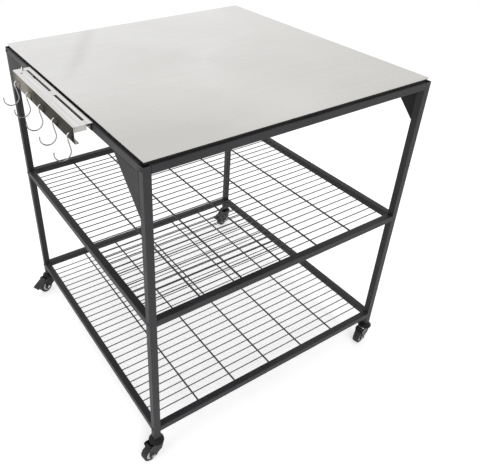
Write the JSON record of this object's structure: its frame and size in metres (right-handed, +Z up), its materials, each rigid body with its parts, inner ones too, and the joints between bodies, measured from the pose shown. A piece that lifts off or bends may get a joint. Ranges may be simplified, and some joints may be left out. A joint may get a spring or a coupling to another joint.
{
  "type": "grill cart",
  "caption": "Square rolling grill cart: stainless work surface over wire shelves in a charcoal tube frame, on swivel casters, with a side tool rail and S-hooks.",
  "frame": {"origin": "on the floor under the centre of the square tube frame, in the plane on which the tyres stand", "axes": "+Z up; the front is towards -Y; the tool rail with its hooks is on the left, towards -X"},
  "size_m": [0.911, 0.839, 0.9155],
  "materials": {
    "frame": "charcoal powder coat, fine satin texture",
    "shelf_wire": "charcoal powder coat",
    "stainless": "brushed stainless",
    "rail": "brushed stainless, bright face",
    "panel": "black laminated board",
    "hook_wire": "bright plated wire",
    "zinc": "zinc plated",
    "bolt": "black oxide",
    "plastic": "black nylon",
    "caster_steel": "gloss black paint",
    "ball_steel": "polished bearing steel",
    "hub": "light grey moulded plastic",
    "tyre": "black rubber tread",
    "pedal": "black moulded plastic"
  },
  "bodies": {
    "cart": {"stainless_top": "stainless", "top_backing_panel": "panel", "top_brace": "frame", "top_beam_front": "frame", "top_beam_back": "frame", "top_beam_left": "frame", "top_beam_right": "frame", "post_fl": "frame", "post_fr": "frame", "post_bl": "frame", "post_br": "frame", "gusset_fl": "frame", "gusset_fr": "frame", "gusset_bl": "frame", "gusset_br": "frame", "mid_rail_front": "frame", "mid_rail_back": "frame", "mid_rail_left": "frame", "mid_rail_right": "frame", "mid_shelf_grid": "shelf_wire", "low_rail_front": "frame", "low_rail_back": "frame", "low_rail_left": "frame", "low_rail_right": "frame", "low_shelf_grid": "shelf_wire", "joint_bolts": "bolt", "post_plugs": "plastic", "tool_rail": "rail", "tool_rail_screws": "zinc", "caster_stem_fl": "caster_steel", "caster_stem_fr": "caster_steel", "caster_stem_bl": "caster_steel", "caster_stem_br": "caster_steel", "caster_balls_fl": "ball_steel", "caster_balls_fr": "ball_steel", "caster_balls_bl": "ball_steel", "caster_balls_br": "ball_steel"},
    "hook_1_body": {"hook_1": "hook_wire"},
    "hook_2_body": {"hook_2": "hook_wire"},
    "hook_3_body": {"hook_3": "hook_wire"},
    "hook_4_body": {"hook_4": "hook_wire"},
    "hook_5_body": {"hook_5": "hook_wire"},
    "fork_fl": {"caster_fork_fl": "caster_steel", "caster_axle_fl": "zinc"},
    "wheel_fl": {"caster_hub_fl": "hub", "caster_tyre_fl": "tyre"},
    "fork_fr": {"caster_fork_fr": "caster_steel", "caster_axle_fr": "zinc"},
    "wheel_fr": {"caster_hub_fr": "hub", "caster_tyre_fr": "tyre"},
    "fork_bl": {"caster_fork_bl": "caster_steel", "caster_axle_bl": "zinc"},
    "wheel_bl": {"caster_hub_bl": "hub", "caster_tyre_bl": "tyre"},
    "pedal_bl": {"brake_pedal_bl": "pedal"},
    "fork_br": {"caster_fork_br": "caster_steel", "caster_axle_br": "zinc"},
    "wheel_br": {"caster_hub_br": "hub", "caster_tyre_br": "tyre"},
    "pedal_br": {"brake_pedal_br": "pedal"}
  },
  "joints": [
    {"name": "hook_1_swing", "type": "hinge", "parent": "cart", "child": "hook_1_body", "pos_m": [-0.4515, -0.168, 0.8805], "axis": [0, -1, 0], "range_deg": [-45, 12]},
    {"name": "hook_2_swing", "type": "hinge", "parent": "cart", "child": "hook_2_body", "pos_m": [-0.4515, -0.082, 0.8805], "axis": [0, -1, 0], "range_deg": [-45, 12]},
    {"name": "hook_3_swing", "type": "hinge", "parent": "cart", "child": "hook_3_body", "pos_m": [-0.4515, 0.004, 0.8805], "axis": [0, -1, 0], "range_deg": [-45, 12]},
    {"name": "hook_4_swing", "type": "hinge", "parent": "cart", "child": "hook_4_body", "pos_m": [-0.4515, 0.09, 0.8805], "axis": [0, -1, 0], "range_deg": [-45, 12]},
    {"name": "hook_5_swing", "type": "hinge", "parent": "cart", "child": "hook_5_body", "pos_m": [-0.4515, 0.176, 0.8805], "axis": [0, -1, 0], "range_deg": [-45, 12]},
    {"name": "swivel_fl", "type": "hinge", "parent": "cart", "child": "fork_fl", "pos_m": [-0.397, -0.397, 0.06], "axis": [0, 0, 1], "continuous": true},
    {"name": "wheel_fl_spin", "type": "hinge", "parent": "fork_fl", "child": "wheel_fl", "pos_m": [-0.41879, -0.40006, 0.025], "axis": [0.1392, -0.9903, 0], "continuous": true},
    {"name": "swivel_fr", "type": "hinge", "parent": "cart", "child": "fork_fr", "pos_m": [0.397, -0.397, 0.06], "axis": [0, 0, 1], "continuous": true},
    {"name": "wheel_fr_spin", "type": "hinge", "parent": "fork_fr", "child": "wheel_fr", "pos_m": [0.37548, -0.40157, 0.025], "axis": [0.2079, -0.9781, 0], "continuous": true},
    {"name": "swivel_bl", "type": "hinge", "parent": "cart", "child": "fork_bl", "pos_m": [-0.397, 0.397, 0.06], "axis": [0, 0, 1], "continuous": true},
    {"name": "wheel_bl_spin", "type": "hinge", "parent": "fork_bl", "child": "wheel_bl", "pos_m": [-0.41725, 0.3884, 0.025], "axis": [0.3907, -0.9205, 0], "continuous": true},
    {"name": "pedal_bl_press", "type": "hinge", "parent": "fork_bl", "child": "pedal_bl", "pos_m": [-0.42185, 0.38645, 0.0555], "axis": [0.3907, -0.9205, 0], "range_deg": [-18, 0]},
    {"name": "swivel_br", "type": "hinge", "parent": "cart", "child": "fork_br", "pos_m": [0.397, 0.397, 0.06], "axis": [0, 0, 1], "continuous": true},
    {"name": "wheel_br_spin", "type": "hinge", "parent": "fork_br", "child": "wheel_br", "pos_m": [0.37646, 0.38912, 0.025], "axis": [0.3584, -0.9336, 0], "continuous": true},
    {"name": "pedal_br_press", "type": "hinge", "parent": "fork_br", "child": "pedal_br", "pos_m": [0.37179, 0.38732, 0.0555], "axis": [0.3584, -0.9336, 0], "range_deg": [0, 18]}
  ]
}
